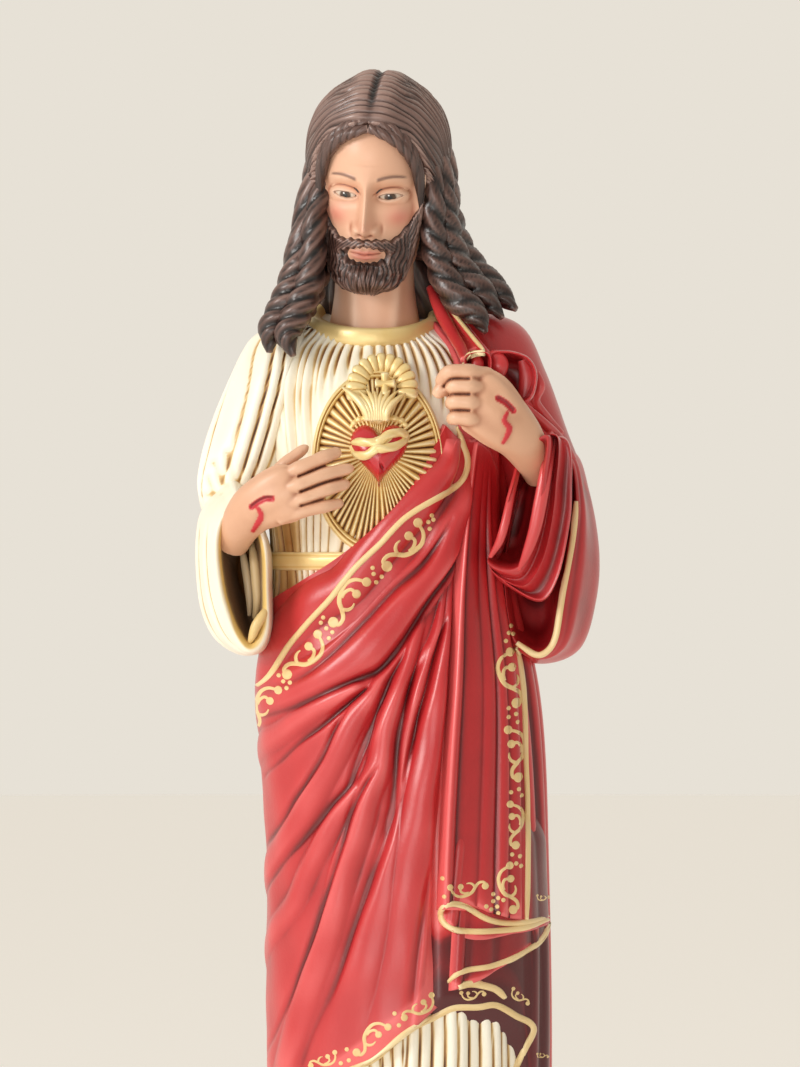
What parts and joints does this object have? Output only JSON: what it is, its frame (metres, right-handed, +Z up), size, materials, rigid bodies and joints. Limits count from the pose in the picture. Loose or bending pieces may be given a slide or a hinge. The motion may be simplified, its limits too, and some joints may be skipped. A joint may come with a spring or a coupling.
{
  "type": "sacred heart statue",
  "caption": "Standing robed, bearded figure with a flaming heart on an oval of rays on the breast, in an ivory tunic and red mantle, cast in one piece with a low eight-sided base.",
  "frame": {"origin": "middle of the flat underside of the base", "axes": "+Z up along the figure, the figure faces -Y, +X is the viewer's right"},
  "size_m": [0.158, 0.1282, 0.6001],
  "materials": {
    "mantle_red": "satin red paint, darker in the folds",
    "tunic_ivory": "ivory paint with a gold-brown wash in the pleats",
    "gilding": "antiqued gold paint with a brown wash in its hollows",
    "skin": "satin flesh paint with a soft blush",
    "hair": "brown paint, dark in the grooves and dry-brushed on the strands",
    "heart_red": "glossy red paint",
    "eyes": "glossy white with a painted iris",
    "base_paint": "ivory paint with an antique wash and gold lines"
  },
  "bodies": {
    "root": {"sacred_heart_statue": "mantle_red"}
  },
  "joints": []
}
